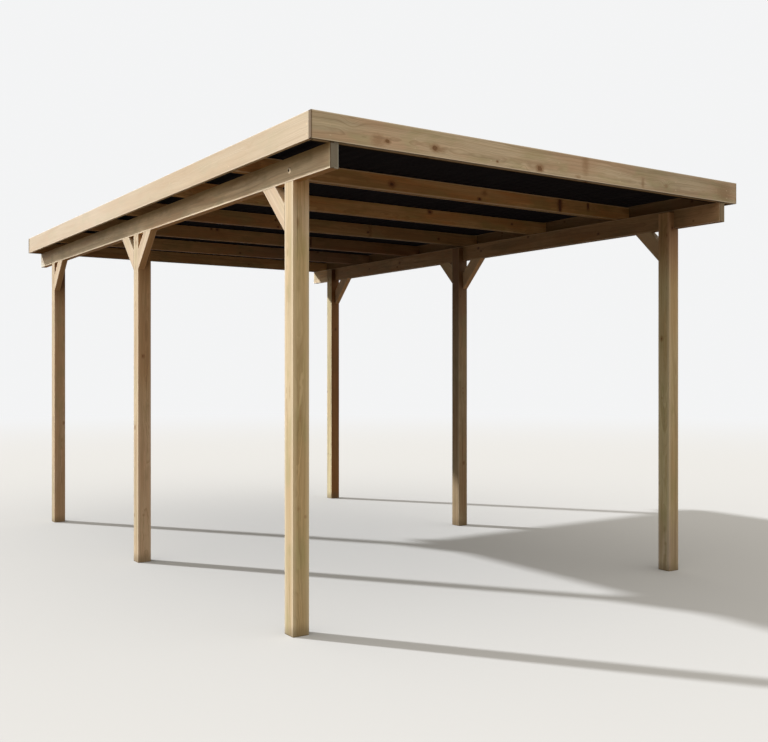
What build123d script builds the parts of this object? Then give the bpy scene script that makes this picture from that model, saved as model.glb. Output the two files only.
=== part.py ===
from build123d import *
import os

# A flat-roofed timber carport for one car, standing on six square posts.
# Millimetres, +Z up. The origin is on the ground in the middle of the plan,
# +Y points to the rear and +X to the right when looking in from the front.

# Roof outline, over the faces of the fascia boards
roof_width = 3040.0
roof_length = 5050.0
fascia_bottom = 2330.0

# Timber sections
post_width = 90.0
beam_width = 45.0
beam_depth = 120.0
rafter_width = 45.0
rafter_depth = 95.0
fascia_thickness = 20.0
fascia_depth = 130.0
brace_depth = 95.0

# Places of the posts, from the outer faces of the fascias to the outer faces of the posts. The
# middle row stands a little behind the middle of the roof.
side_overhang = 105.0
end_overhang = 360.0
middle_row_offset = 55.0

# Joints between the members
tongue_drop = 15.0
beam_setback = 10.0
brace_reach = 235.0
arris = 4.0
rafter_count = 7

# Profiled roof sheets, with their ribs running from front to rear
sheet_count = 3
sheet_thickness = 2.0
rib_height = 18.0
rib_pitch = 76.0
rib_top = 20.0
rib_slope = 12.0
sheet_gap = 4.0

# Levels and lines that follow from the sizes above
beam_top = fascia_bottom
beam_bottom = beam_top - beam_depth
rafter_bottom = beam_top
rafter_top = rafter_bottom + rafter_depth
post_top = beam_top - tongue_drop
front_line = -roof_length / 2
rear_line = roof_length / 2
post_face = roof_width / 2 - side_overhang
fascia_inner_x = roof_width / 2 - fascia_thickness
fascia_inner_y = roof_length / 2 - fascia_thickness
end_post_y = rear_line - end_overhang - post_width / 2
post_rows = {"front": -end_post_y, "middle": middle_row_offset, "rear": end_post_y}
sides = {"left": -1, "right": 1}


def block(x0, x1, y0, y1, z0, z1):
    """A rectangular solid between two corners."""
    size_x = x1 - x0
    size_y = y1 - y0
    size_z = z1 - z0
    return Pos((x0 + x1) / 2, (y0 + y1) / 2, (z0 + z1) / 2) * Box(size_x, size_y, size_z)


def across(side, outer, width):
    """The two X limits of a member whose outer face lies at a distance from the middle."""
    return sorted((side * outer, side * (outer - width)))


def save(name, solid):
    """Writes one piece to its own file."""
    solid.label = name
    export_step(solid, f"parts/{name}.step")


def make_post(side, y):
    """A square post with eased arrises. Its outer half is cut away at the top to seat the beam."""
    x0, x1 = across(side, post_face, post_width)
    post = block(x0, x1, y - post_width / 2, y + post_width / 2, 0, post_top)
    post = chamfer(post.edges().filter_by(Axis.Z), arris)
    cut_x0, cut_x1 = across(side, post_face + post_width, post_width + beam_width)
    notch = block(cut_x0, cut_x1, y - post_width, y + post_width, beam_bottom, beam_top + post_width)
    return post - notch


def make_beam(side):
    """A beam on edge, seated in the notches of one row of posts and flush with their faces."""
    x0, x1 = across(side, post_face, beam_width)
    return block(x0, x1, front_line + beam_setback, rear_line - beam_setback, beam_bottom, beam_top)


def make_brace(side, y, direction):
    """A 45 degree knee brace, as thick as the beam, from a post up to the beam's underside."""
    face = y + direction * post_width / 2
    inner_reach = brace_reach - brace_depth * 2 ** 0.5
    profile = [
        (face, beam_bottom - brace_reach),
        (face + direction * brace_reach, beam_bottom),
        (face + direction * inner_reach, beam_bottom),
        (face, beam_bottom - inner_reach),
    ]
    x0, x1 = across(side, post_face, beam_width)
    outline = Polyline(*[(x0, py, pz) for py, pz in profile], close=True)
    return extrude(make_face(outline), amount=x1 - x0, dir=(1, 0, 0))


def rafter_front(index):
    """The Y of a rafter's front face. The first and last rafters back the end fascias."""
    run = 2 * fascia_inner_y - rafter_width
    return -fascia_inner_y + index * run / (rafter_count - 1)


def make_rafter(index):
    """A rafter lying across both beams, between the side fascias."""
    y0 = rafter_front(index)
    return block(-fascia_inner_x, fascia_inner_x, y0, y0 + rafter_width, rafter_bottom, rafter_top)


def make_end_fascia(direction):
    """A fascia board across the whole width, over the ends of the side boards."""
    y0, y1 = sorted((direction * roof_length / 2, direction * fascia_inner_y))
    top = fascia_bottom + fascia_depth
    return block(-roof_width / 2, roof_width / 2, y0, y1, fascia_bottom, top)


def make_side_fascia(side):
    """A fascia board along one side, between the end boards, on the rafter ends."""
    x0, x1 = across(side, roof_width / 2, fascia_thickness)
    top = fascia_bottom + fascia_depth
    return block(x0, x1, -fascia_inner_y, fascia_inner_y, fascia_bottom, top)


def make_sheet(index):
    """One ribbed sheet of closed trapezoid profile, butted to the next on the crest of a rib."""
    cover = 2 * (fascia_inner_x - sheet_gap) / sheet_count
    x_start = -fascia_inner_x + sheet_gap + index * cover
    ribs = round(cover / rib_pitch)
    pitch = cover / ribs
    half_top = rib_top / 2
    low = rafter_top
    high = rafter_top + rib_height - sheet_thickness
    line = [(x_start, high)]
    for rib in range(ribs):
        crest = x_start + rib * pitch
        line.append((crest + half_top, high))
        line.append((crest + half_top + rib_slope, low))
        line.append((crest + pitch - half_top - rib_slope, low))
        line.append((crest + pitch - half_top, high))
    line.append((x_start + cover, high))
    upper = [(x, z + sheet_thickness) for x, z in reversed(line)]
    y0 = -fascia_inner_y + sheet_gap
    outline = Polyline(*[(x, y0, z) for x, z in line + upper], close=True)
    return extrude(make_face(outline), amount=-2 * y0, dir=(0, 1, 0))


os.makedirs("parts", exist_ok=True)

for side_name, side in sides.items():
    for row_name, row_y in post_rows.items():
        save(f"{row_name}_{side_name}_post", make_post(side, row_y))
    save(f"{side_name}_beam", make_beam(side))
    save(f"{side_name}_fascia", make_side_fascia(side))
    for row_name, way, direction in (
        ("front", "rearward", 1),
        ("middle", "forward", -1),
        ("middle", "rearward", 1),
        ("rear", "forward", -1),
    ):
        brace = make_brace(side, post_rows[row_name], direction)
        save(f"{row_name}_{side_name}_{way}_brace", brace)

save("front_fascia", make_end_fascia(-1))
save("rear_fascia", make_end_fascia(1))

for index in range(rafter_count):
    save(f"rafter_{index + 1}", make_rafter(index))

for index in range(sheet_count):
    save(f"roof_sheet_{index + 1}", make_sheet(index))
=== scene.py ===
import math
import random

import bpy
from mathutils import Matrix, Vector


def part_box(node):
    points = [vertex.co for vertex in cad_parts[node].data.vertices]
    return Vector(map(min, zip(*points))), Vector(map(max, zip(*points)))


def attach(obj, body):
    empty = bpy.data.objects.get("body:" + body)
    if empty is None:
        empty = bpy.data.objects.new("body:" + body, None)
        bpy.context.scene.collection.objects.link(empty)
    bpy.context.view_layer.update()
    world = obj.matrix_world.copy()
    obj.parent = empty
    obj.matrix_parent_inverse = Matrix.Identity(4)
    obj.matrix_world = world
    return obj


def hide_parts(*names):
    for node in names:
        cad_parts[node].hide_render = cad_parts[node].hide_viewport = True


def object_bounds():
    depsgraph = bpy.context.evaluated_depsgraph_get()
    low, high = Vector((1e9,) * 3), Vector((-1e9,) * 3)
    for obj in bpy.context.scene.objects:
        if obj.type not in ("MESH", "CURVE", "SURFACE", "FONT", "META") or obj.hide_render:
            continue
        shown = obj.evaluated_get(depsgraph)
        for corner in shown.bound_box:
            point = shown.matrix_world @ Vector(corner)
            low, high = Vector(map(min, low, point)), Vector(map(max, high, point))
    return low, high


# The looks of a flat-roofed timber carport: planed, pressure-treated softwood with grain, knots,
# drying cracks and end grain, near-black ribbed roof sheets, and zinc-plated fastenings.

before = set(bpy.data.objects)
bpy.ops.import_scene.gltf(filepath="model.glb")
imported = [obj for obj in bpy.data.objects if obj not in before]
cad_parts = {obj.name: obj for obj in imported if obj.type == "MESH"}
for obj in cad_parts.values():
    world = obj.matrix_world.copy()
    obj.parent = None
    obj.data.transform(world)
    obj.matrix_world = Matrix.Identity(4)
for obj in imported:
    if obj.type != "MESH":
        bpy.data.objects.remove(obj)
cad_low, cad_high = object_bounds()

X_AXIS = Vector((1, 0, 0))
Y_AXIS = Vector((0, 1, 0))
Z_AXIS = Vector((0, 0, 1))
# Which way each side looks along X, and the rows of posts, the rafters and the roof sheets
SIDES = {"left": -1, "right": 1}
ROWS = ("front", "middle", "rear")
RAFTERS = range(1, 8)
SHEETS = (1, 2, 3)

# Camera: level, at the photograph's place, with its focal length in pixels of the 768 px frame
CAMERA_PLACE = (-3.629, -6.2465, 1.2896)
CAMERA_TURN = math.radians(33.906)
FOCAL_PIXELS = 956.3
FRAME_PIXELS = 768
SENSOR_MM = 36.0

# Daylight from the rear left, with soft fill from the sky
SUN_DIRECTION = (-0.92, 1.26, 1.0)
SUN_STRENGTH = 4.45
SUN_SPREAD = math.radians(2.0)
SUN_COLOUR = (1.0, 0.98, 0.95)
SKY_STRENGTH = 1.36
SKY_COLOUR = (1.0, 0.92, 0.80, 1.0)
SKY_BRIGHT_SIDE = (-0.45, -0.75, 0.48)
SKY_FRONT = (-0.25, -1.0, 0.0)
BACKDROP_COLOUR = (0.90, 0.905, 0.91, 1.0)
FLOOR_COLOUR = (0.48, 0.495, 0.515, 1.0)
# The floor's colour for bounced light: warm and low outside, and lower still under the roof as painted shade
FLOOR_BOUNCE = (0.20, 0.150, 0.102, 1.0)
SHELTERED_BOUNCE = (0.02, 0.015, 0.010, 1.0)
FLOOR_REACH = 60.0


def new_object(name, data):
    """An object in the scene."""
    made = bpy.data.objects.new(name, data)
    bpy.context.scene.collection.objects.link(made)
    return made


def make_camera():
    data = bpy.data.cameras.new("camera")
    data.sensor_width = SENSOR_MM
    data.lens = FOCAL_PIXELS * SENSOR_MM / FRAME_PIXELS
    camera = new_object("camera", data)
    camera.location = CAMERA_PLACE
    camera.rotation_euler = (math.radians(90), 0, -CAMERA_TURN)
    bpy.context.scene.camera = camera


class Graph:
    """A short way to write a node tree. node() returns a node, and the rest an output socket."""

    def __init__(self, tree):
        self.tree = tree

    def feed(self, node, inputs):
        """Links each named input of a node, or sets a plain value."""
        for key, value in inputs.items():
            if isinstance(value, bpy.types.NodeSocket):
                self.tree.links.new(value, node.inputs[key])
            elif value is not None:
                node.inputs[key].default_value = value

    def node(self, kind, inputs=None, **settings):
        node = self.tree.nodes.new(f"ShaderNode{kind}")
        for key, value in settings.items():
            setattr(node, key, value)
        self.feed(node, inputs or {})
        return node

    def math(self, operation, first, second=None, third=None):
        given = {0: first, 1: second, 2: third}
        return self.node("Math", given, operation=operation).outputs[0]

    def plus(self, first, second):
        return self.math("ADD", first, second)

    def times(self, first, second):
        return self.math("MULTIPLY", first, second)

    def vector(self, operation, first, second=None):
        node = self.node("VectorMath", {0: first, 1: second}, operation=operation)
        return node.outputs["Value" if operation in ("DOT_PRODUCT", "LENGTH") else "Vector"]

    def dot(self, socket, direction):
        return self.vector("DOT_PRODUCT", socket, tuple(direction))

    def combine(self, x, y, z):
        return self.node("CombineXYZ", {"X": x, "Y": y, "Z": z}).outputs[0]

    def upright(self, point):
        """The height of a point."""
        return self.node("SeparateXYZ", {0: point}).outputs["Z"]

    def place(self):
        """The object's own coordinates, which are those of the frame."""
        return self.node("TexCoord").outputs["Object"]

    def normal(self):
        return self.node("NewGeometry").outputs["True Normal"]

    def noise(self, point, scale=1.0, detail=2.0, roughness=0.5):
        given = {"Vector": point, "Scale": scale, "Detail": detail, "Roughness": roughness}
        return self.node("TexNoise", given).outputs["Fac"]

    def spread(self, value, low, high, to_low=0.0, to_high=1.0, smooth=True):
        """Maps a value from one range to another, clamped."""
        given = {"Value": value, "From Min": low, "From Max": high, "To Min": to_low, "To Max": to_high}
        kind = "SMOOTHSTEP" if smooth else "LINEAR"
        return self.node("MapRange", given, interpolation_type=kind).outputs[0]

    def mix(self, factor, first, second, blend="MIX"):
        node = self.node("Mix", data_type="RGBA", blend_type=blend, clamp_factor=True)
        self.feed(node, {0: factor, 6: first, 7: second})
        return node.outputs[2]

    def bump(self, strength, distance, height):
        given = {"Strength": strength, "Distance": distance, "Height": height}
        return self.node("Bump", given).outputs[0]


def empty_graph(owner):
    """The emptied node tree of a material or a world."""
    owner.use_nodes = True
    owner.node_tree.nodes.clear()
    return Graph(owner.node_tree)


def new_material(name):
    """A material, its graph and its shader."""
    material = bpy.data.materials.new(name)
    graph = empty_graph(material)
    shader = graph.node("BsdfPrincipled")
    graph.node("OutputMaterial", {"Surface": shader.outputs[0]})
    return material, graph, shader


def colour(red, green, blue):
    """A colour given in ordinary 0 to 255 screen values, as linear light."""
    linear = []
    for value in (red, green, blue):
        share = value / 255
        linear.append(share / 12.92 if share <= 0.04045 else ((share + 0.055) / 1.055) ** 2.4)
    return (*linear, 1.0)


def knot_group():
    """One knot. It adds itself to the nearest-knot distance and to the bending of the rings."""
    tree = bpy.data.node_groups.new("knot", "ShaderNodeTree")
    for kind, names in (("Vector", ("Point", "Centre", "Weight")), ("Float", ("Radius", "Nearest", "Bend"))):
        for name in names:
            tree.interface.new_socket(name, in_out="INPUT", socket_type=f"NodeSocket{kind}")
    for name in ("Nearest", "Bend"):
        tree.interface.new_socket(name, in_out="OUTPUT", socket_type="NodeSocketFloat")
    graph = Graph(tree)
    given = tree.nodes.new("NodeGroupInput").outputs
    offset = graph.vector("SUBTRACT", given["Point"], given["Centre"])
    distance = graph.vector("LENGTH", graph.vector("MULTIPLY", offset, given["Weight"]))
    halo = graph.math("POWER", HALO_BASE, graph.times(distance, distance))
    nearest = graph.math("MINIMUM", given["Nearest"], distance)
    bend = graph.plus(given["Bend"], graph.times(halo, given["Radius"]))
    graph.feed(tree.nodes.new("NodeGroupOutput"), {"Nearest": nearest, "Bend": bend})
    return tree


# How fast a knot's bending of the rings falls off, and how far it is drawn out along the grain
HALO_BASE = 0.62
KNOT_STRETCH = 1.35
# How fast a knot fades along the axis it runs along, and a spike across the member
KNOT_DEPTH = 0.15
SPIKE_WIDTH = 0.28
# How strong a stain is, and the distance from the nearest knot where there is none
STAIN_DEPTH = 0.60
FAR_AWAY = 9.0
KNOT_TREE = knot_group()
DARK_EDGE = colour(84, 66, 44)


class Tone:
    """The colours of one lot of timber, and how strongly each of its features shows.
    contrast: of the late wood. curl: how far the rings waver. mottle: of fibres and streaks.
    rub: how strongly the arrises take a painted highlight, partly wear, within rub_reach of them.
    shelter: how far the undersides take damp, painted shade that is partly the browner colour of sheltered
    wood, and sheen: what gloss they keep.
    rim: the colour of one edge of the end grain, pale on the beams as a painted highlight. tip: the colour
    of the long faces within tip_reach of an end, pale on the beams as a painted highlight.
    dark_side: a direction and a factor of painted shade, partly the browner colour of wood the sun doesn't
    bleach, for the faces turned away from there."""

    contrast = 0.6
    curl = 0.0013
    mottle = 1.0
    rub = 0.50
    rub_reach = 0.006
    shelter = 0.0
    damp = colour(92, 62, 32)
    sheen = 0.02
    rim = DARK_EDGE
    tip = DARK_EDGE
    tip_reach = 0.006
    dark_side = None

    def __init__(self, *shades, **traits):
        for name, shade in zip(("early", "late", "warm", "olive", "stain", "knot", "end"), shades):
            setattr(self, name, colour(*shade))
        for name, value in traits.items():
            setattr(self, name, colour(*value) if name in ("damp", "rim", "tip") else value)


TO_REAR = (0.0, 1.0, 0.0)
TO_RIGHT = (1.0, 0.0, 0.0)
TO_LEFT = (-1.0, 0.0, 0.0)
TO_FRONT = (0.0, -1.0, 0.0)
UP = (0.0, 0.0, 1.0)
DOWN = (0.0, 0.0, -1.0)
# The posts' tones differ a little at random and partly as painted light and shade: the middle right post's
# is darker as painted shade, the rear right post's paler as painted sunlight, the front posts' arrises take
# a painted highlight, and dark_side paints shade on faces turned away from a side
POST_TONES = {
    "front_left_post": Tone(
        (206, 190, 158), (160, 136, 100), (206, 184, 148), (188, 177, 137), (148, 116, 80),
        (104, 76, 48), (136, 126, 98), rub=0.70, rub_reach=0.026,
        dark_side=(TO_REAR, (0.94, 0.91, 0.80))),
    "middle_left_post": Tone(
        (207, 192, 163), (165, 140, 109), (203, 182, 152), (190, 178, 146), (140, 104, 70),
        (94, 62, 40), (128, 114, 88), rub=0.60, rub_reach=0.020, dark_side=(TO_REAR, (1.0, 0.87, 0.82))),
    "rear_left_post": Tone(
        (200, 184, 157), (158, 134, 103), (196, 172, 139), (182, 171, 137), (138, 102, 68),
        (92, 60, 40), (126, 112, 86), dark_side=(TO_REAR, (1.06, 0.92, 0.86))),
    "front_right_post": Tone(
        (209, 199, 160), (163, 143, 104), (201, 181, 139), (185, 179, 133), (146, 114, 74),
        (98, 70, 42), (130, 122, 90), rub=0.65, rub_reach=0.024, dark_side=(TO_REAR, (0.84, 0.76, 0.72))),
    "middle_right_post": Tone(
        (168, 148, 118), (128, 103, 73), (158, 128, 95), (146, 132, 99), (116, 82, 52),
        (78, 50, 32), (112, 98, 74)),
    "rear_right_post": Tone(
        (228, 218, 180), (190, 168, 127), (224, 204, 161), (212, 204, 163), (150, 112, 72),
        (100, 66, 42), (136, 122, 92), dark_side=(TO_REAR, (0.38, 0.20, 0.10))),
}
BRACE_TONE = Tone(
    (210, 194, 170), (184, 161, 132), (206, 184, 157), (198, 184, 154), (152, 116, 80),
    (104, 72, 46), (136, 126, 98), contrast=0.28, dark_side=(UP, (0.93, 0.72, 0.52)))
# The right beam's tone is darker than the left one's as painted shade; the beams' undersides take painted
# shade, and their pale tips and rims are painted highlights
BEAM_TONES = {
    "left_beam": Tone(
        (224, 211, 185), (174, 153, 123), (202, 179, 150), (192, 182, 154), (146, 114, 84),
        (92, 66, 46), (126, 121, 109), contrast=0.34, shelter=0.8, rim=(172, 176, 168),
        damp=(177, 129, 72), tip=(234, 226, 202), tip_reach=0.013),
    "right_beam": Tone(
        (166, 139, 107), (122, 94, 65), (150, 116, 81), (138, 120, 89), (110, 78, 51),
        (78, 50, 33), (134, 118, 94), contrast=0.55, shelter=0.5, rim=(150, 142, 116),
        tip=(190, 170, 138), tip_reach=0.010),
}
# The end boards' undersides take a grey painted shade, and their arrises a painted highlight
END_FASCIA_TONE = Tone(
    (204, 189, 163), (154, 131, 102), (198, 172, 145), (184, 174, 140), (144, 112, 78),
    (112, 80, 52), (110, 88, 58), contrast=0.62, rub=0.85, shelter=0.60, damp=(79, 82, 89),
    tip=(96, 74, 48), tip_reach=0.0085, curl=0.0022)
LEFT_FASCIA_TONE = Tone(
    (193, 177, 152), (180, 161, 134), (189, 170, 143), (185, 172, 145), (164, 128, 94),
    (122, 88, 60), (150, 128, 96), contrast=0.20, mottle=0.4)
# The right board is darker than the left, and its inner face darker still, as painted shade
RIGHT_FASCIA_TONE = Tone(
    (186, 166, 138), (152, 128, 98), (178, 150, 120), (168, 156, 124), (142, 106, 74),
    (106, 74, 50), (150, 128, 96), contrast=0.40, shelter=0.8, dark_side=(TO_RIGHT, (0.46, 0.40, 0.34)))
# The front rafters are paler and the rear ones browner as painted light and shade; the second rafter's
# arrises take a strong painted highlight, and the last rafter's underside is near-black painted shade
PALE_RAFTER = ((212, 176, 128), (172, 130, 84), (206, 154, 100), (182, 158, 106), (132, 80, 46),
               (80, 46, 28), (126, 108, 78))
BROWN_RAFTER = ((182, 150, 108), (142, 106, 70), (170, 128, 86), (152, 132, 90), (116, 68, 38),
                (72, 42, 26), (120, 102, 74))
REAR_RAFTER_TONE = Tone(*BROWN_RAFTER, contrast=0.55, rub=0.10, shelter=0.45)
RAFTER_TONES = {
    1: Tone((196, 180, 158), (160, 140, 116), (190, 168, 142), (176, 166, 140), (132, 80, 46),
            (80, 46, 28), (126, 108, 78), contrast=0.30, rub=0.0, sheen=0.0),
    2: Tone(*PALE_RAFTER, contrast=0.55, rub=1.0, rub_reach=0.008, shelter=0.50),
    3: Tone(*PALE_RAFTER, contrast=0.55, rub=0.08, shelter=0.50),
    7: Tone(*BROWN_RAFTER, contrast=0.55, rub=0.0, shelter=0.985, damp=(22, 15, 9)),
}

# Slow changes of colour, most of them painted light and shade: the way each goes, where it starts, where it
# is full, and its factor there
# Post heads and beam tops are painted darker as shade, the beams' ends lighter as painted light, the rafters
# darker towards the right as painted shade, and the first rafter's underside black behind its front edge as
# a painted shadow
WASHES = {
    "front_left_post": [(UP, 1.84, 2.00, (1.14, 1.14, 1.30)), (UP, 2.06, 2.20, (1.0, 0.88, 0.72))],
    "middle_left_post": [(UP, 0.95, 1.30, (0.87, 0.82, 0.72)), (UP, 1.78, 2.10, (0.74, 0.60, 0.44))],
    "rear_left_post": [(UP, 1.72, 2.10, (0.51, 0.37, 0.27))],
    "front_right_post": [(UP, 1.78, 2.16, (0.76, 0.58, 0.52)), (DOWN, -0.50, -0.15, (0.80, 0.76, 0.84))],
    "middle_right_post": [(UP, 1.45, 2.08, (0.56, 0.46, 0.37))],
    "rear_right_post": [(UP, 2.17, 2.26, (0.39, 0.32, 0.27))],
    "left_beam": [(UP, 2.252, 2.330, (0.42, 0.35, 0.22)), (TO_REAR, 2.38, 2.47, (1.10, 1.25, 1.50)),
                  (TO_REAR, -1.70, -1.30, (1.18, 1.18, 1.18)), (TO_REAR, -0.20, 0.50, (0.82, 0.82, 0.82))],
    "right_beam": [(TO_REAR, 2.12, 2.32, (2.3, 2.8, 3.4)), (TO_FRONT, 2.20, 2.34, (1.30, 1.28, 1.34))],
    "left_fascia": [(TO_REAR, -1.0, 0.6, (1.10, 1.13, 1.22))],
    "front_fascia": [(TO_LEFT, 1.10, 1.35, (0.89, 0.91, 0.89)), (TO_RIGHT, 0.30, 0.80, (0.82, 0.83, 0.83))],
    "rafter_1": [(TO_REAR, -2.492, -2.480, (0.07, 0.08, 0.12))],
    "rafter_2": [(TO_RIGHT, 0.30, 1.10, (0.78, 0.76, 0.68))],
    "rafter_3": [(TO_RIGHT, 0.30, 1.10, (0.80, 0.84, 0.84))],
    "rafter_4": [(TO_RIGHT, -0.10, 0.90, (0.82, 0.90, 0.96))],
    "rafter_5": [(TO_RIGHT, -0.40, 0.60, (0.54, 0.48, 0.48))],
    "rafter_6": [(TO_RIGHT, -0.30, 0.80, (0.60, 0.56, 0.70))],
}


class Knot:
    """A knot, a stain or a swelling of the rings: its place along and across the member, its radius,
    the axis it runs along, its place on the third axis, and its stretch along the grain. A knot that
    is sawn along its length shows as a spike across the face."""

    def __init__(self, place, side, radius, runs="third", deep=0.0, stretch=KNOT_STRETCH):
        self.centre = (place, side, deep)
        self.radius = radius
        across = {"third": 1.0, "across": KNOT_DEPTH, "spike": SPIKE_WIDTH}[runs] / radius
        third = (1.0 if runs == "across" else KNOT_DEPTH) / radius
        self.weight = (1 / (radius * stretch), across, third)


# Those that the photograph shows. A member without an entry gets scattered knots and no stains
KNOTS = {
    "front_fascia": [
        Knot(-1.108, -0.025, 0.0085), Knot(-0.828, -0.021, 0.0125), Knot(-0.431, -0.038, 0.0045),
        Knot(-0.138, -0.039, 0.0125),
    ],
    "left_fascia": [],
    "left_beam": [],
    "rafter_2": [
        Knot(-0.503, -0.008, 0.010), Knot(0.152, -0.028, 0.008),
        Knot(0.835, 0.002, 0.009, "across", 0.0225), Knot(1.094, 0.020, 0.006, "spike", 0.0225),
    ],
    "rafter_3": [
        Knot(0.387, 0.030, 0.009), Knot(-0.720, -0.020, 0.007), Knot(1.150, 0.010, 0.006),
    ],
    "front_left_post": [
        Knot(0.852, -0.020, 0.0050, stretch=4.0), Knot(0.033, 0.0, 0.0042, "across", -0.009, 7.0),
        Knot(-0.085, -0.005, 0.0044, stretch=7.0), Knot(0.089, 0.011, 0.0032, stretch=3.0),
        Knot(-0.537, -0.016, 0.0045, stretch=2.5), Knot(-0.578, 0.026, 0.0060, stretch=1.0),
        Knot(0.640, 0.0, 0.0045, "across", 0.020, 2.0),
    ],
}
STAINS = {
    "front_fascia": [
        Knot(-1.160, -0.029, 0.034), Knot(-0.792, -0.026, 0.018, stretch=2.0), Knot(-0.138, -0.036, 0.020),
        Knot(0.143, -0.052, 0.012, stretch=2.0), Knot(0.200, 0.030, 0.022, "spike"),
        Knot(0.661, -0.027, 0.011, "spike"), Knot(0.862, -0.022, 0.015), Knot(1.400, -0.010, 0.065),
    ],
    "rafter_2": [
        Knot(0.192, 0.015, 0.020), Knot(0.835, 0.010, 0.030), Knot(-0.503, -0.004, 0.026),
    ],
    "rafter_3": [Knot(0.387, 0.030, 0.024)],
}
SWELLS = {
    "front_fascia": [
        Knot(-1.300, 0.030, 0.024), Knot(-0.330, -0.050, 0.020), Knot(-0.250, -0.040, 0.014),
        Knot(0.420, 0.055, 0.014), Knot(0.862, -0.008, 0.014),
    ],
    "left_fascia": [
        Knot(-1.900, 0.020, 0.020), Knot(-1.450, -0.025, 0.016), Knot(-1.050, 0.030, 0.022),
        Knot(-0.500, -0.020, 0.018), Knot(0.300, 0.020, 0.018),
    ],
}


class Grain:
    """How one member was sawn from its log: its middle, half its length and its half sizes, its
    axes, its pith, the width of its rings and its knots."""

    def __init__(self, centre, reach, halves, along, across, seed, pith, ring, knots):
        self.centre = centre
        self.reach = reach
        self.halves = halves
        self.along = along
        self.across = across
        self.third = along.cross(across)
        self.seed = seed
        self.pith = pith
        self.ring = ring
        self.knots = knots


def nearest_knot(graph, point, knots, bend=0.0):
    """The distance to the nearest of some knots, in knot radii, and the bending of the rings."""
    nearest = FAR_AWAY
    for knot in knots:
        given = {"Point": point, "Centre": knot.centre, "Weight": knot.weight, "Radius": knot.radius,
                 "Nearest": nearest, "Bend": bend}
        node = graph.node("Group", given, node_tree=KNOT_TREE)
        nearest = node.outputs["Nearest"]
        bend = node.outputs["Bend"]
    return nearest, bend


# Noise in the wood: its pace along and across the grain, detail, roughness, and offset if any
RIPPLE = (4.0, 26.0, 3.0, 0.55)
WAVE = (15.0, 12.0, 1.0, 0.5)
FIBRE = (6.0, 260.0, 4.0, 0.65)
STREAK = (1.3, 75.0, 2.0, 0.6)
BROAD = (1.6, 11.0, 2.0, 0.5)
PATCH = (3.6, 8.0, 3.0, 0.6, 3.1)
RIPPLE_SIZE = 0.0030
# The pace and size of the pith line's wandering, on the second and on the third axis
WANDERS = ((0.75, 0.028), (0.55, 0.020))
KNOT_BEND = 0.95
# How far the rings slant along the member
RING_SLANT = 0.0045
SEED_STEP = 7.3
KNOT_RAGGEDNESS = (60.0, 90.0, 90.0)
# The pale colour of the painted highlight along the arrises, partly wear
ARRIS_HIGHLIGHT_PALE = (0.9, 0.84, 0.74, 1.0)
END_LATE_WOOD = colour(96, 84, 60)
FOOT_DAMP = colour(108, 92, 66)


def drawn_noise(graph, place, lengthwise, crosswise, detail, roughness, offset=0.0):
    """Noise that is drawn out along the grain."""
    far, across, third = place
    point = graph.combine(
        graph.times(far, lengthwise),
        graph.math("MULTIPLY_ADD", across, crosswise, offset),
        graph.times(third, crosswise),
    )
    return graph.noise(point, detail=detail, roughness=roughness)


def ring_count(graph, tone, grain, place, shift, bend):
    """How many growth rings lie between a place and the pith, whose line wanders along the member."""
    far = place[0]
    off_pith = []
    for side, pith, (pace, size), lane in zip(place[1:], grain.pith, WANDERS, ((shift, 0.0), (0.0, shift))):
        wander = graph.noise(graph.combine(graph.times(far, pace), *lane), detail=1.0)
        pith_line = graph.spread(wander, 0.25, 0.75, pith - size, pith + size, False)
        off_pith.append(graph.math("SUBTRACT", side, pith_line))
    reach = graph.vector("LENGTH", graph.combine(*off_pith, 0.0))
    ripple = drawn_noise(graph, place, *RIPPLE)
    reach = graph.plus(reach, graph.spread(ripple, 0.2, 0.8, -RIPPLE_SIZE, RIPPLE_SIZE, False))
    wave = drawn_noise(graph, place, *WAVE)
    reach = graph.plus(reach, graph.spread(wave, 0.25, 0.75, -tone.curl, tone.curl, False))
    reach = graph.math("MULTIPLY_ADD", bend, KNOT_BEND, reach)
    reach = graph.math("MULTIPLY_ADD", far, RING_SLANT, reach)
    return graph.math("DIVIDE", reach, grain.ring)


def late_wood(graph, rings):
    """The dark part of each growth ring, which is stronger in some years."""
    phase = graph.math("FRACT", rings)
    rise = graph.spread(phase, 0.30, 0.90)
    drop = graph.spread(phase, 0.93, 1.0, 1.0, 0.0)
    year = graph.node("TexWhiteNoise", {"W": graph.math("FLOOR", rings)}, noise_dimensions="1D")
    strength = graph.spread(year.outputs["Value"], 0.0, 1.0, 0.30, 1.0, False)
    return graph.times(graph.times(rise, drop), strength)


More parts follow.
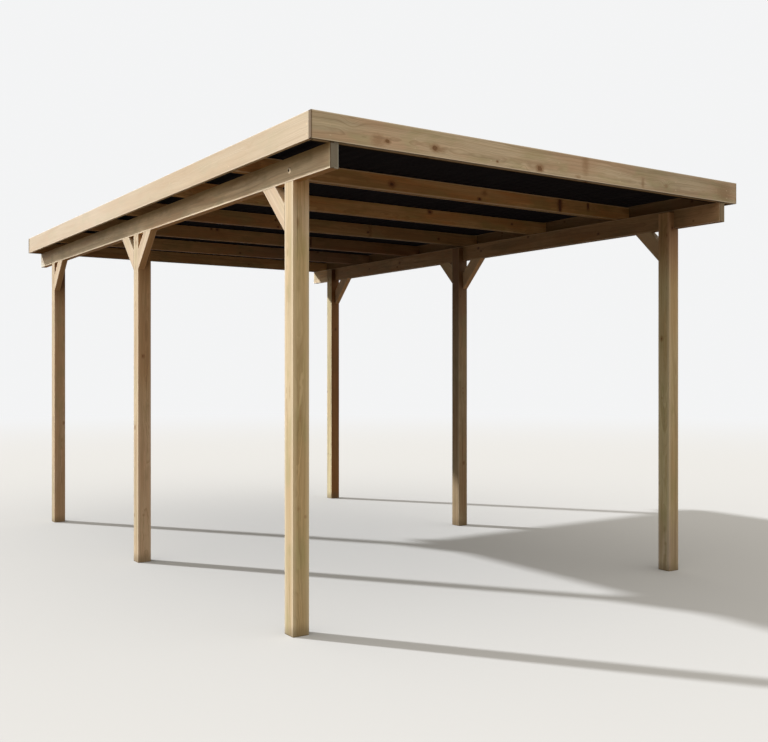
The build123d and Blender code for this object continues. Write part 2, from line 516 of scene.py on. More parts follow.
def wood(node, tone, grain, foot=0.0, spared=None):
    """Treated softwood as a solid texture, so that faces, edges and ends of a member agree. Moisture rises
    from its foot. The member's washes, most of them painted light and shade, leave out the faces turned to
    spared."""
    material, graph, shader = new_material(f"{node}_wood")
    source = graph.place()
    local = graph.vector("SUBTRACT", source, tuple(grain.centre))
    along, across, third = [graph.dot(local, axis) for axis in (grain.along, grain.across, grain.third)]
    point = graph.combine(along, across, third)
    shift = SEED_STEP * grain.seed
    far = graph.plus(along, shift)
    place = (far, across, third)
    stains = STAINS.get(node, ())

    near_knot, bend = nearest_knot(graph, point, grain.knots)
    near_stain, _ = nearest_knot(graph, point, stains)
    _, bend = nearest_knot(graph, point, SWELLS.get(node, ()), bend)
    rings = ring_count(graph, tone, grain, place, shift, bend)
    latewood = late_wood(graph, rings)
    band_point = graph.combine(graph.times(rings, 0.45), graph.times(far, 0.6), shift)
    band = graph.noise(band_point, detail=2.0, roughness=0.6)

    # Fibre streaks and broad drifts of colour
    fibre = drawn_noise(graph, place, *FIBRE)
    streak = drawn_noise(graph, place, *STREAK)
    broad = drawn_noise(graph, place, *BROAD)
    patch = drawn_noise(graph, place, *PATCH)
    tint = graph.mix(graph.spread(broad, 0.40, 0.64), tone.early, tone.warm)
    tint = graph.mix(graph.spread(patch, 0.46, 0.66, 0.0, 0.85), tint, tone.olive)
    tint = graph.mix(graph.times(latewood, tone.contrast), tint, tone.late)
    tint = graph.mix(graph.spread(band, 0.46, 0.72, 0.0, 0.55), tint, tone.late)
    mottle = tone.mottle
    shade = graph.spread(fibre, 0.28, 0.72, 1 - 0.13 * mottle, 1 + 0.07 * mottle, False)
    lines = graph.spread(streak, 0.28, 0.72, 1 - 0.09 * mottle, 1 + 0.09 * mottle, False)
    shade = graph.times(shade, lines)
    tint = graph.mix(1.0, tint, graph.combine(shade, shade, shade), "MULTIPLY")

    height = graph.times(latewood, 0.5)
    height = graph.math("MULTIPLY_ADD", fibre, 0.55, height)
    if grain.knots or stains:
        ragged_point = graph.vector("MULTIPLY", point, KNOT_RAGGEDNESS)
        ragged = graph.noise(ragged_point, detail=3.0, roughness=0.6)
        ragged = graph.spread(ragged, 0.2, 0.8, -0.35, 0.35, False)
    if stains:
        around = graph.plus(near_stain, ragged)
        tint = graph.mix(graph.spread(around, 0.1, 1.4, STAIN_DEPTH, 0.0), tint, tone.stain)
    if grain.knots:
        around = graph.plus(near_knot, ragged)
        eyes = graph.math("FRACT", graph.times(around, 3.2))
        heart = graph.mix(graph.spread(eyes, 0.2, 0.9, 0.0, 0.6), tone.knot, tone.stain)
        core = graph.spread(around, 0.78, 1.12, 1.0, 0.0)
        rim = graph.times(graph.spread(around, 0.60, 0.95, 0.0, 0.7), core)
        heart = graph.mix(rim, heart, tone.knot)
        tint = graph.mix(graph.spread(around, 0.9, 2.6, 0.70, 0.0), tint, tone.stain)
        tint = graph.mix(core, tint, heart)
        height = graph.math("MULTIPLY_ADD", core, -0.5, height)

    # A painted highlight, partly wear, lies along the arrises, and the long faces change colour towards the
    # member's ends: darker on most members, and paler on the beams as a painted highlight
    gap_1, gap_2, end_gap = [
        graph.math("SUBTRACT", half, graph.math("ABSOLUTE", spot))
        for half, spot in zip((*grain.halves, grain.reach), (across, third, along))
    ]
    edge = graph.math("MAXIMUM", gap_1, gap_2)
    highlight_gap = graph.math("MULTIPLY_ADD", patch, -0.004, edge)
    rub = graph.spread(highlight_gap, 0.0010, tone.rub_reach, tone.rub, 0.0)
    tint = graph.mix(rub, tint, graph.mix(0.35, tone.early, ARRIS_HIGHLIGHT_PALE))
    at_tip = graph.spread(end_gap, tone.tip_reach / 3, tone.tip_reach, 0.70, 0.0)
    tint = graph.mix(at_tip, tint, tone.tip)

    normal = graph.normal()
    # Undersides take painted shade, partly the browner colour of sheltered wood, and keep less gloss
    down = graph.spread(graph.dot(normal, DOWN), 0.80, 0.99)
    tint = graph.mix(graph.times(down, tone.shelter), tint, tone.damp)
    # Painted shade, partly the browner colour of unbleached wood, on the faces turned away from a side
    if tone.dark_side:
        direction, factor = tone.dark_side
        away = graph.spread(graph.dot(normal, direction), -0.55, -0.35, 1.0, 0.0)
        tint = graph.mix(away, tint, (*factor, 1.0), "MULTIPLY")
    # The washes: mostly painted light and shade, and some slow changes of tone
    for direction, start, full, factor in WASHES.get(node, ()):
        share = graph.spread(graph.dot(source, direction), start, full)
        if spared:
            kept = graph.spread(graph.dot(normal, spared), 0.6, 0.8, 1.0, 0.0)
            share = graph.times(share, kept)
        tint = graph.mix(share, tint, (*factor, 1.0), "MULTIPLY")

    # End grain is greyer and darker, and shows the rings more
    on_end = graph.spread(graph.math("ABSOLUTE", graph.dot(normal, grain.along)), 0.62, 0.70)
    end_tint = graph.mix(graph.times(latewood, 0.75), tone.end, END_LATE_WOOD)
    # The end grain's rim is dark on one side and takes rim on the other, which on the beams is a painted
    # highlight
    rim = graph.math("MINIMUM", gap_1, gap_2)
    rim_tint = graph.mix(graph.spread(third, -0.001, 0.001), DARK_EDGE, tone.rim)
    end_tint = graph.mix(graph.spread(rim, 0.0025, 0.0060, 0.75, 0.0), end_tint, rim_tint)
    tint = graph.mix(on_end, tint, end_tint)

    if foot:
        level = graph.math("MULTIPLY_ADD", patch, 0.10, graph.upright(source))
        tint = graph.mix(graph.spread(level, foot * 0.4, foot, 0.55, 0.0), tint, FOOT_DAMP)

    graph.feed(shader, {
        "Normal": graph.bump(0.35, 0.0012, height),
        "Base Color": tint,
        "Roughness": graph.spread(latewood, 0.0, 1.0, 0.66, 0.52, False),
        "Specular IOR Level": graph.spread(down, 0.0, 1.0, 0.28, tone.sheen, False),
    })
    return material


# Edges sharper than these aren't smoothed: on round pieces, and on timber, whose faces stay flat
ROUND_ANGLE = math.radians(32)
FLAT_ANGLE = math.radians(10)


def link_piece(name, solid, material, slot, *nodes, sharp=ROUND_ANGLE):
    """Makes one mesh object, smooth but for its sharp edges, and ties it to the frame."""
    vertices, faces = solid
    mesh = bpy.data.meshes.new(name)
    mesh.from_pydata(vertices, [], faces)
    mesh.polygons.foreach_set("use_smooth", [True] * len(mesh.polygons))
    mesh.set_sharp_from_angle(angle=sharp)
    mesh.materials.append(material)
    piece = new_object(name, mesh)
    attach(piece, "root")
    if nodes:
        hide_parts(*nodes)


def link_timber(node, slot, solid, tone, grain, foot=0.0, spared=None):
    """A member's visible skin, in the place of its CAD node."""
    material = wood(node, tone, grain, foot, spared)
    link_piece(f"{node}_timber", solid, material, slot, node, sharp=FLAT_ANGLE)


def loft(rings, closed_top=True):
    """Vertices and faces of a solid through rings of equally many points."""
    count = len(rings[0])
    vertices = [tuple(point) for ring in rings for point in ring]
    faces = []
    for level in range(len(rings) - 1):
        low = level * count
        high = low + count
        for index in range(count):
            after = (index + 1) % count
            faces.append((low + index, low + after, high + after, high + index))
    faces.append(tuple(reversed(range(count))))
    if closed_top:
        faces.append(tuple(range(len(vertices) - count, len(vertices))))
    return vertices, faces


def gather(solids):
    """Joins several solids into one list of vertices and faces."""
    vertices = []
    faces = []
    for part_vertices, part_faces in solids:
        start = len(vertices)
        vertices += part_vertices
        faces += [tuple(index + start for index in face) for face in part_faces]
    return vertices, faces


def corner(centre, start, radius, steps=3):
    """Points of a quarter round arris."""
    points = []
    for step in range(steps + 1):
        angle = start + math.pi / 2 * step / steps
        points.append((centre[0] + radius * math.cos(angle), centre[1] + radius * math.sin(angle)))
    return points


# The width of a drying crack's line where it is closed
CLOSED_WIDTH = 0.0003


class Check:
    """A drying crack: the face it lies on, its place across the face, its ends, width and depth."""

    def __init__(self, face, place, start, end, width, depth):
        self.face = face
        self.place = place
        self.start = start
        self.end = end
        self.width = width
        self.depth = depth

    def opening(self, share):
        """How far the crack is open at a share of the member's length, from 0 to 1."""
        if not self.start < share < self.end:
            return 0.0
        inside = (share - self.start) / (self.end - self.start)
        return math.sin(math.pi * inside) ** 0.6


def section(half_1, half_2, arris, share, checks):
    """The outline of a member's section, with eased arrises and any cracks at this place."""
    corners = ((1, -1), (1, 1), (-1, 1), (-1, -1))
    points = []
    for index, (start, face) in enumerate(zip(corners, ("+1", "+2", "-1", "-2"))):
        end = corners[(index + 1) % 4]
        centre = (start[0] * (half_1 - arris), start[1] * (half_2 - arris))
        points += corner(centre, math.pi / 2 * (index - 1), arris)
        along = Vector((end[0] - start[0], end[1] - start[1])) / 2
        inward = Vector((-along.y, along.x))
        half, depth = (half_2, half_1) if face[1] == "1" else (half_1, half_2)
        for check in checks:
            if check.face != face:
                continue
            gape = check.opening(share)
            width = max(CLOSED_WIDTH, check.width * gape)
            middle = -inward * depth + along * half * check.place
            for side, sink in ((-0.5, 0.0), (0.0, check.depth * gape), (0.5, 0.0)):
                spot = middle + along * width * side + inward * sink
                points.append((spot.x, spot.y))
    return points


def stations(length, spacing=0.05):
    """Even shares of a length, about one a spacing."""
    steps = max(2, round(length / spacing))
    return [step / steps for step in range(steps + 1)]


# How far a planed edge wavers
SWAY_SIZE = 0.0003


def sway(seed, share, length):
    """A slight unevenness of a planed edge, always inwards."""
    place = share * length
    waves = math.sin(4.1 * place + seed) + math.sin(9.7 * place + 2.3 * seed)
    return SWAY_SIZE * (1 + 0.5 * waves) / 2


# How much a board's ends are eased
END_EASE = 0.0015


def make_board(node, slot, tone, along, seed, pith, knots, checks=(), arris=0.0025, ring=0.0034, sink=0.0,
               spared=None):
    """A straight member with square ends, in the place of its CAD node."""
    low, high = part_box(node)
    across = Z_AXIS
    third = along.cross(across)
    centre = (low + high) / 2
    size = high - low
    length = size.dot(along)
    half_1 = abs(size.dot(across)) / 2
    half_2 = abs(size.dot(third)) / 2
    rings = []
    eased = END_EASE / length
    for share in [0.0, eased] + stations(length)[1:-1] + [1 - eased, 1.0]:
        inset = sink + sway(seed, share, length)
        if share in (0.0, 1.0):
            inset += END_EASE
        outline = section(half_1 - inset, half_2 - inset, arris, share, checks)
        middle = centre + along * length * (share - 0.5)
        rings.append([middle + across * u + third * v for u, v in outline])
    grain = Grain(centre, length / 2, (half_1, half_2), along, across, seed, pith, ring, knots)
    link_timber(node, slot, loft(rings), tone, grain, spared=spared)


def scatter(rng, length, half_1, half_2, spacing, through, smallest, largest):
    """Knots along a member, in loose whorls, on the faces that a through axis crosses."""
    knots = []
    place = -length / 2 + rng.uniform(0.1, spacing)
    while place < length / 2:
        for _ in range(rng.choice((1, 1, 2))):
            radius = rng.uniform(smallest, largest)
            axis = rng.choice(through)
            if axis == "third":
                side, deep = rng.uniform(-half_1, half_1), 0.0
            else:
                side, deep = 0.0, rng.uniform(-half_2, half_2)
            spot = place + rng.uniform(-0.05, 0.05)
            knots.append(Knot(spot, side, radius, axis, deep))
        place += spacing * rng.uniform(0.6, 1.4)
    return knots


NOTCH_SLACK = 0.000001
POST_ARRIS = 0.004
POST_SPACING = 0.04
# How high moisture rises in a post
DAMP_HEIGHT = 0.12


def cross_line(outline, line):
    """The outline with a point more wherever it crosses a line."""
    points = []
    for index, point in enumerate(outline):
        after = outline[(index + 1) % len(outline)]
        points.append(point)
        if (point[0] - line) * (after[0] - line) < 0:
            share = (line - point[0]) / (after[0] - point[0])
            points.append((line, point[1] + (after[1] - point[1]) * share))
    return points


def far_end(low, high, outward):
    """The limit of a box that lies outwards, of its low and its high one."""
    return high if outward > 0 else low


def make_post(side_name, row_name, seed):
    """A square post whose outer half stops under the beam, while its inner half goes on up."""
    node = f"{row_name}_{side_name}_post"
    rng = random.Random(node)
    low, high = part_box(node)
    beam_low, beam_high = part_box(f"{side_name}_beam")
    outward = SIDES[side_name]
    centre = (low + high) / 2
    half = (high.y - low.y) / 2
    height = high.z - low.z
    # The notch's inner face, on the axis that points outwards from the post's middle
    notch_line = far_end(beam_low, beam_high, -outward).x - centre.x
    checks = post_checks(node, rng)
    shoulder = (beam_low.z - low.z) / height
    lower = []
    for share in stations(height * shoulder, POST_SPACING):
        inset = sway(seed, share, height)
        outline = section(half - inset, half - inset, POST_ARRIS, share * shoulder, checks)
        outline = cross_line(outline, notch_line)
        level = low.z + height * shoulder * share
        lower.append([Vector((centre.x + u, centre.y + v, level)) for u, v in outline])
    vertices, faces = loft(lower, closed_top=False)

    # The tongue goes on up from the points of the last ring that the notch leaves standing
    count = len(outline)
    last = len(vertices) - count
    stays = [outward * (u - notch_line) < NOTCH_SLACK for u, _ in outline]
    first = next(index for index in range(count) if stays[index] and not stays[index - 1])
    turn = [(first + step) % count for step in range(count)]
    kept = [last + index for index in turn if stays[index]]
    cut = [last + index for index in turn if not stays[index]]
    faces.append((kept[-1], *cut, kept[0]))
    top = [len(vertices) + step for step in range(len(kept))]
    vertices += [(*vertices[index][:2], high.z) for index in kept]
    for step, index in enumerate(kept):
        after = (step + 1) % len(kept)
        faces.append((index, kept[after], top[after], top[step]))
    faces.append(tuple(top))

    knots = KNOTS.get(node) or scatter(rng, height, half, half, 0.62, ("across", "third"), 0.004, 0.009)
    pith = (rng.uniform(-0.03, 0.03), rng.uniform(-0.03, 0.03))
    ring = rng.uniform(0.0030, 0.0042)
    grain = Grain(centre, height / 2, (half, half), Z_AXIS, X_AXIS, seed, pith, ring, knots)
    spared = TO_LEFT if outward < 0 else TO_RIGHT
    link_timber(node, "post_timber", (vertices, faces), POST_TONES[node], grain, DAMP_HEIGHT, spared)


def post_checks(node, rng):
    """Drying cracks of a post, at shares of its height. The near post's are where the photo has them."""
    if node == "front_left_post":
        return [
            Check("-2", -0.48, 0.78, 0.93, 0.0022, 0.010),
            Check("-2", -0.42, 0.30, 0.58, 0.0012, 0.006),
            Check("-1", 0.20, 0.10, 0.45, 0.0012, 0.006),
        ]
    checks = []
    for face in ("-1", "-2", "+1", "+2"):
        if rng.random() < 0.75:
            start = rng.uniform(0.05, 0.6)
            end = start + rng.uniform(0.12, 0.35)
            place = rng.uniform(-0.5, 0.5)
            # Clear of the notch, whose line runs along the middle of the face
            place = math.copysign(max(abs(place), 0.1), place)
            checks.append(Check(face, place, start, end, rng.uniform(0.001, 0.002), 0.007))
    return checks


def make_posts():
    seed = 1
    for side_name in SIDES:
        for row_name in ROWS:
            make_post(side_name, row_name, seed)
            seed += 1


BEAM_PITH = (0.02, 0.045)
BEAM_CHECKS = (
    Check("+2", 0.3, 0.10, 0.24, 0.0012, 0.005),
    Check("-2", -0.2, 0.55, 0.72, 0.0012, 0.005),
)


def make_beams():
    for seed, node in ((11, "left_beam"), (12, "right_beam")):
        rng = random.Random(node)
        low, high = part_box(node)
        knots = scatter(rng, high.y - low.y, 0.05, 0.02, 0.9, ("third",), 0.004, 0.009)
        knots = KNOTS.get(node, knots)
        make_board(node, "beam_timber", BEAM_TONES[node], Y_AXIS, seed, BEAM_PITH, knots, BEAM_CHECKS)


def make_rafters():
    for index in RAFTERS:
        node = f"rafter_{index}"
        rng = random.Random(node)
        low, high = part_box(node)
        knots = scatter(rng, high.x - low.x, 0.04, 0.02, 0.7, ("third", "across"), 0.005, 0.010)
        knots = KNOTS.get(node, knots)
        pith = (rng.uniform(-0.03, 0.03), rng.choice((-1, 1)) * rng.uniform(0.03, 0.06))
        tone = RAFTER_TONES.get(index, REAR_RAFTER_TONE)
        spared = TO_REAR if index == 1 else None
        make_board(node, "rafter_timber", tone, X_AXIS, 20 + index, pith, knots, spared=spared)


def make_fascias():
    boards = (
        ("front_fascia", X_AXIS, 31, (-0.012, 0.050), END_FASCIA_TONE),
        ("rear_fascia", X_AXIS, 32, (0.02, -0.05), END_FASCIA_TONE),
        ("left_fascia", Y_AXIS, 33, (0.01, -0.045), LEFT_FASCIA_TONE),
        ("right_fascia", Y_AXIS, 34, (-0.02, 0.05), RIGHT_FASCIA_TONE),
    )
    for node, along, seed, pith, tone in boards:
        rng = random.Random(node)
        low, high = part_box(node)
        length = (high - low).dot(along)
        knots = KNOTS.get(node, scatter(rng, length, 0.055, 0.01, 0.7, ("third",), 0.003, 0.008))
        make_board(node, "fascia_timber", tone, along, seed, pith, knots,
                   arris=0.002, ring=0.0058, sink=0.0004)


BRACE_DEPTH = 0.095
BRACE_ARRIS = 0.0025
BRACE_RING = 0.0026
BRACE_SPACING = 0.03
BRACE_INSET = 0.0002


def make_brace(node, seed):
    """A knee brace at 45 degrees, cut plumb against the post and level under the beam."""
    rng = random.Random(node)
    low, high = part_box(node)
    sign = 1 if "rearward" in node else -1
    along = Vector((0, sign, 1)).normalized()
    across = X_AXIS
    third = along.cross(across)
    half_1 = (high.x - low.x) / 2
    half_2 = BRACE_DEPTH / 2
    # The lower edge runs from the foot of the plumb cut to the far end of the level cut
    foot = Vector(((low.x + high.x) / 2, far_end(low, high, -sign).y, low.z))
    inner = Vector((0, -sign, 1)).normalized()
    axis_start = foot + inner * half_2
    length = (high.z - low.z) * math.sqrt(2)
    rings = []
    for share in stations(length, BRACE_SPACING):
        ring = []
        for u, v in section(half_1 - BRACE_INSET, half_2 - BRACE_INSET, BRACE_ARRIS, share, ()):
            offset = third * v
            depth = offset.dot(inner)
            # From the plumb cut to the level cut along this line of the brace
            start = depth + half_2
            stop = length - depth - half_2
            run = start + (stop - start) * share
            ring.append(axis_start + across * u + offset + along * run)
        rings.append(ring)
    knots = scatter(rng, length, half_1, half_2, 1.1, ("across",), 0.003, 0.005)
    centre = axis_start + along * length / 2
    pith = (rng.uniform(-0.09, -0.06), rng.uniform(-0.03, 0.03))
    grain = Grain(centre, length, (half_1, half_2), along, across, seed, pith, BRACE_RING, knots)
    link_timber(node, "brace_timber", loft(rings), BRACE_TONE, grain)


def make_braces():
    seed = 41
    for side_name in SIDES:
        for name in ("front_{}_rearward", "middle_{}_forward", "middle_{}_rearward", "rear_{}_forward"):
            make_brace(name.format(side_name) + "_brace", seed)
            seed += 1


RIB_PITCH = 0.076
RIB_HEIGHT = 0.018
SHEET_SKIN = 0.0014
SHEET_SLACK = 0.0004
# The rounded profile's rise, and where its crest ends and its seat begins, in half pitches
PROFILE_RISE = RIB_HEIGHT - 2 * SHEET_SKIN - SHEET_SLACK
CREST_SHARE = 0.26
SEAT_SHARE = 0.60
STEPS_PER_RIB = 16
# How far a sheet laps over the next one's first rib, in pitches
LAP = 0.30
CLOSER_INSET = 0.004
CLOSER_DEPTH = 0.030
CLOSER_SLACK = 0.0001
CLOSER_REACH = 0.29
CLOSER_STEPS = 8


def sheet_material():
    material, graph, shader = new_material("roof_sheet_skin")
    source = graph.place()
    stretched = graph.vector("MULTIPLY", source, (9.0, 1.3, 9.0))
    dust = graph.noise(stretched, detail=4.0, roughness=0.6)
    fine = graph.noise(source, scale=260.0, detail=2.0)
    tint = graph.mix(graph.spread(dust, 0.45, 0.75, 0.0, 0.5), colour(49, 52, 64), colour(60, 62, 74))
    # The upper side is greyed by the weather, most of all in the channels between the ribs
    up = graph.spread(graph.dot(graph.normal(), UP), 0.3, 0.8)
    sheet_low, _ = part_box("roof_sheet_1")
    level = graph.upright(source)
    channel = graph.spread(level, sheet_low.z, sheet_low.z + RIB_HEIGHT, 1.0, 0.35, False)
    film = graph.times(up, graph.times(channel, graph.spread(dust, 0.3, 0.7, 0.45, 1.0)))
    graph.feed(shader, {
        "Base Color": graph.mix(film, tint, colour(60, 60, 62)),
        "Roughness": graph.spread(dust, 0.3, 0.7, 0.62, 0.78, False),
        "Normal": graph.bump(0.2, 0.0006, fine),
        "Specular IOR Level": graph.spread(up, 0.0, 1.0, 0.0, 0.12, False),
    })
    return material


def rib_level(phase):
    """Height of the ribbed profile, from 0 on its seat to 1 on the crest, with rounded bends."""
    away = abs((phase + 0.5) % 1.0 - 0.5) * 2
    if away <= CREST_SHARE:
        return 1.0
    if away >= SEAT_SHARE:
        return 0.0
    share = (away - CREST_SHARE) / (SEAT_SHARE - CREST_SHARE)
    return 0.5 + 0.5 * math.cos(math.pi * share)


def sheet_ribs(index):
    """The limits of a sheet's CAD solid, its number of ribs and their pitch."""
    low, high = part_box(f"roof_sheet_{index}")
    width = high.x - low.x
    ribs = round(width / RIB_PITCH)
    return low, high, ribs, width / ribs


def make_sheet(index, material):
    """One ribbed sheet. Its right edge laps over the next sheet's first rib."""
    low, high, ribs, pitch = sheet_ribs(index)
    lap = LAP if index < SHEETS[-1] else 0.0
    total = ribs + lap
    steps = round(total * STEPS_PER_RIB)
    under = []
    for step in range(steps + 1):
        place = total * step / steps
        lift = SHEET_SKIN if place > ribs - LAP and lap else 0.0
        under.append((low.x + place * pitch, low.z + rib_level(place) * PROFILE_RISE + lift))
    count = len(under)
    vertices = []
    for y in (low.y, high.y):
        vertices += [(x, y, z) for x, z in under]
        vertices += [(x, y, z + SHEET_SKIN) for x, z in under]
    faces = []
    rear = 2 * count
    for step in range(count - 1):
        after = step + 1
        faces.append((step, rear + step, rear + after, after))
        faces.append((count + step, count + after, rear + count + after, rear + count + step))
        faces.append((step, after, count + after, count + step))
        faces.append((rear + step, rear + count + step, rear + count + after, rear + after))
    last = count - 1
    faces.append((0, count, rear + count, rear))
    faces.append((last, rear + last, rear + count + last, count + last))
    node = f"roof_sheet_{index}"
    link_piece(f"{node}_skin", (vertices, faces), material, "roof_sheet", node)


def make_closers(material):
    """Foam closers in the rib hollows, over the first and the last rafter."""
    solids = []
    for sheet in SHEETS:
        low, high, ribs, pitch = sheet_ribs(sheet)
        for rib in range(ribs + 1 if sheet == SHEETS[-1] else ribs):
            first = 0 if sheet == 1 and rib == 0 else -CLOSER_STEPS
            last = 0 if rib == ribs else CLOSER_STEPS
            top = []
            for step in range(first, last + 1):
                place = rib + CLOSER_REACH * step / CLOSER_STEPS
                z = low.z + rib_level(place) * PROFILE_RISE - CLOSER_SLACK
                top.append((low.x + place * pitch, max(z, low.z + CLOSER_SLACK)))
            outline = top + [(top[-1][0], low.z), (top[0][0], low.z)]
            for y0 in (low.y + CLOSER_INSET, high.y - CLOSER_INSET - CLOSER_DEPTH):
                solids.append(loft([[(x, y, z) for x, z in outline] for y in (y0, y0 + CLOSER_DEPTH)]))
    link_piece("rib_closers", gather(solids), material, "roof_sheet")


def make_sheets():
    material = sheet_material()
    for index in SHEETS:
        make_sheet(index, material)
    make_closers(material)


def zinc_material():
    material, graph, shader = new_material("zinc_plate")
    cloud = graph.noise(graph.place(), scale=240.0, detail=3.0)
    tint = graph.mix(graph.spread(cloud, 0.35, 0.7), colour(226, 206, 176), colour(188, 168, 138))
    graph.feed(shader, {
        "Base Color": tint,
        "Metallic": 1.0,
        "Roughness": graph.spread(cloud, 0.3, 0.7, 0.42, 0.62, False),
    })
    return material


def shade_material():
    """A dark disc in each beam screw's recess: painted shade where the recess lies in shadow."""
    material, graph, shader = new_material("recess_shade")
    graph.feed(shader, {"Base Color": colour(26, 22, 18), "Roughness": 0.9, "Specular IOR Level": 0.02})
    return material


def turned(profile, centre, axis, sides, turn=0.0):
    """A solid turned from (radius, height) points, closed at both ends. A third value gives a ring
    six lobes."""
    guide = Z_AXIS if abs(axis.dot(Z_AXIS)) < 0.9 else X_AXIS
    first = axis.cross(guide).normalized()
    second = axis.cross(first)
    rings = []
    for radius, height, *lobes in profile:
        ring = []
        for side in range(sides):
            angle = turn + 2 * math.pi * side / sides
            out = radius * (1 + (lobes[0] if lobes else 0.0) * math.cos(6 * angle))
            ring.append(centre + axis * height + (first * math.cos(angle) + second * math.sin(angle)) * out)
        rings.append(ring)
    return loft(rings)


# Profiles of the fastenings: a timber screw's broad domed head with a six-lobed recess, a dark disc of
# painted shade in the recess, a countersunk head with its recess, and a roof screw's washer and hexagonal
# head
WAFER_HEAD = (
    (0.0160, 0.0),
    (0.0164, 0.0012),
    (0.0157, 0.0026),
    (0.0126, 0.0050),
    (0.0100, 0.0060),
    (0.0087, 0.0058, 0.10),
    (0.0083, 0.0014, 0.10),
)
RECESS_SHADE_DISC = ((0.0081, 0.0011, 0.10), (0.0081, 0.0018, 0.10))
SMALL_HEAD = ((0.0036, -0.0006), (0.0036, 0.0001), (0.0031, 0.0004), (0.0017, 0.0003), (0.0013, -0.0009))
ROOF_WASHER = ((0.0095, 0.0), (0.0095, 0.0012), (0.0075, 0.0026), (0.0050, 0.0030))
ROOF_HEAD = ((0.0046, 0.0028), (0.0048, 0.0034), (0.0048, 0.0068), (0.0040, 0.0076))
BEAM_SCREW_SINK = 0.0004
BEAM_SCREW_FORWARD = 0.008
BEAM_SCREW_HEIGHT = 0.055
FASCIA_SCREW_SINK = 0.0006
# Above the rafter's lower face and below its upper one
FASCIA_SCREW_LOW = 0.026
FASCIA_SCREW_HIGH = 0.022
FASCIA_SCREW_MARGIN = 0.10
END_FASCIA_PAIRS = 7
ROOF_SCREW_SINK = 0.0003


def rafter_middle(index):
    """The Y of a rafter's middle."""
    low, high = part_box(f"rafter_{index}")
    return (low.y + high.y) / 2


def make_beam_screws(zinc):
    """A timber screw through each post's tongue and its beam. On the left the middle and rear ones
    are driven from inside, and all others from outside."""
    heads = []
    shade_discs = []
    for side_name, outward in SIDES.items():
        low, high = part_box(f"{side_name}_beam")
        for row_name in ROWS:
            post_low, post_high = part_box(f"{row_name}_{side_name}_post")
            if row_name == "front" or outward > 0:
                way, face = outward, far_end(low, high, outward).x
            else:
                way, face = -outward, far_end(post_low, post_high, -outward).x
            y = (post_low.y + post_high.y) / 2 - BEAM_SCREW_FORWARD
            spot = Vector((face - way * BEAM_SCREW_SINK, y, low.z + BEAM_SCREW_HEIGHT))
            axis = Vector((way, 0, 0))
            heads.append(turned(WAFER_HEAD, spot, axis, 36))
            # A dark disc in the recess, painted shade
            shade_discs.append(turned(RECESS_SHADE_DISC, spot, axis, 36))
    link_piece("beam_screws", gather(heads), zinc, "fastenings")
    link_piece("beam_screw_painted_shade", gather(shade_discs), shade_material(), "fastenings")


def make_fascia_screws(zinc):
    """Pairs of screws through the side boards into the rafter ends, and through the end boards."""
    rafter_low, rafter_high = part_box("rafter_1")
    levels = (rafter_low.z + FASCIA_SCREW_LOW, rafter_high.z - FASCIA_SCREW_HIGH)
    solids = []
    for side_name, outward in SIDES.items():
        low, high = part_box(f"{side_name}_fascia")
        x = far_end(low, high, outward).x - outward * FASCIA_SCREW_SINK
        for index in RAFTERS:
            for z in levels:
                spot = Vector((x, rafter_middle(index), z))
                solids.append(turned(SMALL_HEAD, spot, Vector((outward, 0, 0)), 16))
    for name, outward in (("front_fascia", -1), ("rear_fascia", 1)):
        low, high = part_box(name)
        y = far_end(low, high, outward).y - outward * FASCIA_SCREW_SINK
        run = high.x - low.x - 2 * FASCIA_SCREW_MARGIN
        for step in range(END_FASCIA_PAIRS):
            x = low.x + FASCIA_SCREW_MARGIN + run * step / (END_FASCIA_PAIRS - 1)
            for z in levels:
                solids.append(turned(SMALL_HEAD, Vector((x, y, z)), Vector((0, outward, 0)), 16))
    link_piece("fascia_screws", gather(solids), zinc, "fastenings")


def make_roof_screws(zinc):
    """Screws with domed washers on every third rib crest, over each rafter."""
    solids = []
    for sheet in SHEETS:
        low, _, ribs, pitch = sheet_ribs(sheet)
        crest = low.z + RIB_HEIGHT - SHEET_SKIN - SHEET_SLACK
        for index in RAFTERS:
            for rib in range(1, ribs, 3):
                spot = Vector((low.x + rib * pitch, rafter_middle(index), crest - ROOF_SCREW_SINK))
                solids.append(turned(ROOF_WASHER, spot, Z_AXIS, 16))
                solids.append(turned(ROOF_HEAD, spot, Z_AXIS, 6, 0.1 * rib + index))
    link_piece("roof_screws", gather(solids), zinc, "fastenings")


def seen_rays(graph):
    """1 for rays by which the background is seen, directly or in a gloss, and 0 for its light."""
    path = graph.node("LightPath").outputs
    mirrored = graph.math("MAXIMUM", path["Is Glossy Ray"], path["Is Transmission Ray"])
    return graph.math("MAXIMUM", path["Is Camera Ray"], mirrored)


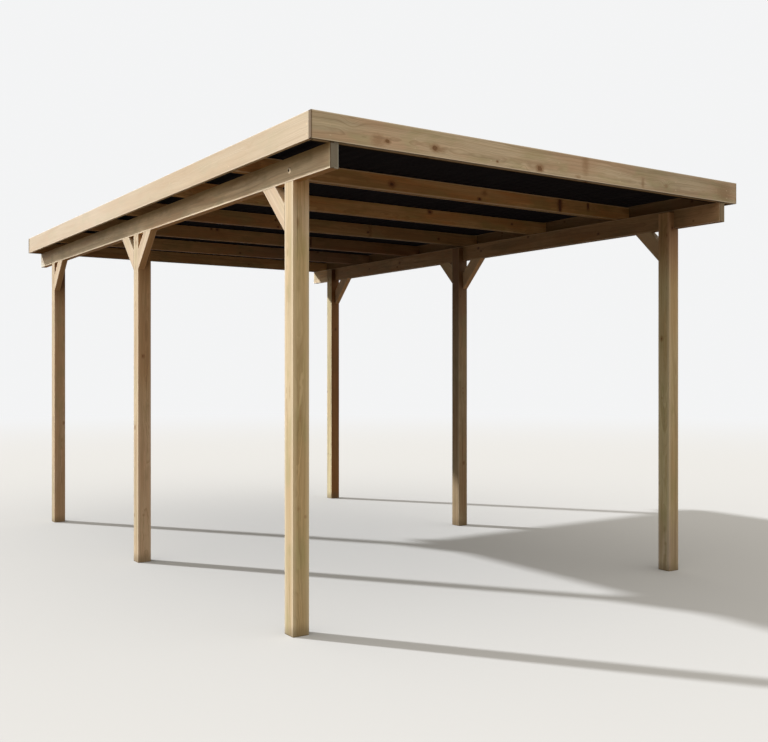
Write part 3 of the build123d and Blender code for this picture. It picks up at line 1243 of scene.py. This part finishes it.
def make_floor():
    """A pale floor and a matching backdrop colour. Light that bounces off it is kept low."""
    mesh = bpy.data.meshes.new("floor")
    corners = [(x * FLOOR_REACH, y * FLOOR_REACH, 0) for x, y in ((-1, -1), (1, -1), (1, 1), (-1, 1))]
    mesh.from_pydata(corners, [], [(0, 1, 2, 3)])
    floor = new_object("floor", mesh)
    material = bpy.data.materials.new("floor_paint")
    graph = empty_graph(material)
    seen = seen_rays(graph)
    source = graph.place()
    # Light that bounces off under the roof is weaker than that from outside: a painted shadow of the roof,
    # seen only by bounced light
    scaled = graph.vector("MULTIPLY", source, (1 / cad_high.x, 1 / cad_high.y, 0.0))
    outside = graph.spread(graph.vector("LENGTH", scaled), 0.9, 2.6)
    bounce = graph.mix(outside, SHELTERED_BOUNCE, FLOOR_BOUNCE)
    tint = graph.mix(seen, bounce, FLOOR_COLOUR)
    matt = graph.node("BsdfDiffuse", {"Color": tint}).outputs[0]
    glow = graph.node("Emission", {"Color": BACKDROP_COLOUR}).outputs[0]
    fade = graph.times(graph.spread(graph.vector("LENGTH", source), 7.0, 22.0), seen)
    blend = graph.node("MixShader", {0: fade, 1: matt, 2: glow}).outputs[0]
    graph.node("OutputMaterial", {"Surface": blend})
    mesh.materials.append(material)


def make_light():
    world = bpy.data.worlds.new("sky")
    bpy.context.scene.world = world
    graph = empty_graph(world)
    seen = seen_rays(graph)
    away = graph.node("TexCoord").outputs["Generated"]
    front = graph.dot(away, Vector(SKY_FRONT).normalized())
    horizon = graph.spread(front, 0.0, 0.95, 0.04, 0.20)
    lift = graph.spread(graph.upright(away), 0.04, 0.52, horizon, 1.0)
    bright_side = graph.dot(away, Vector(SKY_BRIGHT_SIDE).normalized())
    side = graph.spread(bright_side, -0.6, 0.7, 0.45, 1.0, False)
    strength = graph.times(graph.times(lift, side), SKY_STRENGTH)
    fill = graph.node("Background", {"Color": SKY_COLOUR, "Strength": strength}).outputs[0]
    drop = graph.node("Background", {"Color": BACKDROP_COLOUR, "Strength": 1.0}).outputs[0]
    blend = graph.node("MixShader", {0: seen, 1: fill, 2: drop}).outputs[0]
    graph.node("OutputWorld", {"Surface": blend})
    data = bpy.data.lights.new("sun", "SUN")
    data.energy = SUN_STRENGTH
    data.angle = SUN_SPREAD
    data.color = SUN_COLOUR
    sun = new_object("sun", data)
    sun.rotation_mode = "QUATERNION"
    sun.rotation_quaternion = Vector(SUN_DIRECTION).to_track_quat("Z", "Y")


bpy.context.scene.view_settings.view_transform = "Standard"
make_camera()
make_light()
make_floor()
make_posts()
make_beams()
make_rafters()
make_fascias()
make_braces()
make_sheets()
zinc = zinc_material()
make_beam_screws(zinc)
make_fascia_screws(zinc)
make_roof_screws(zinc)
